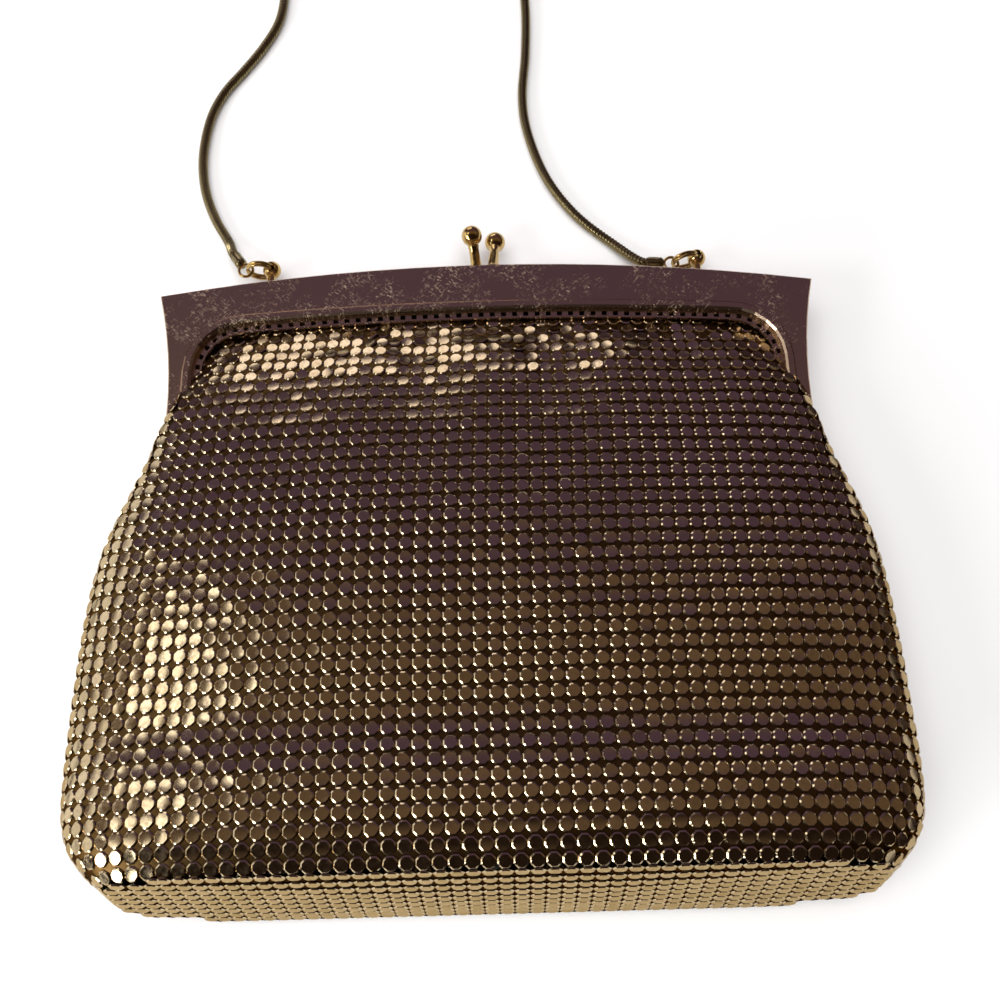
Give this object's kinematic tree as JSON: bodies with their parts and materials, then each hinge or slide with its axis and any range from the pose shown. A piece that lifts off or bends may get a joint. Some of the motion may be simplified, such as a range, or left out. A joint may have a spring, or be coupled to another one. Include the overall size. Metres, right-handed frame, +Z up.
{
  "type": "metal mesh purse",
  "caption": "Small boxed evening purse of linked metal plates on a hinged kiss-lock frame, with a snake-chain handle laid loose, lying on its back.",
  "frame": {"origin": "middle of the back panel, on the surface that the purse lies on", "axes": "+X across the purse to the right as seen from its front, +Y from the boxed bottom towards the frame and the chain, +Z up out of the front panel"},
  "size_m": [0.1906, 0.3241, 0.0315],
  "materials": {
    "frame_gold": "gold-plated, finely cross-scratched satin",
    "mesh_gold": "gold-plated polished plates",
    "bright_gold": "polished gold plate",
    "chain_gold": "gold-plated snake chain"
  },
  "bodies": {
    "root": {"jaw_front": "frame_gold", "jaw_back": "frame_gold", "hinge_pin_left": "bright_gold", "hinge_pin_right": "bright_gold", "clasp_knob_back": "bright_gold", "clasp_knob_front": "bright_gold", "handle_stud_left": "bright_gold", "handle_stud_right": "bright_gold", "jump_ring_left": "bright_gold", "jump_ring_right": "bright_gold", "chain_cap_left": "bright_gold", "chain_cap_right": "bright_gold", "snake_chain": "chain_gold", "mesh_bag": "mesh_gold"}
  },
  "joints": []
}
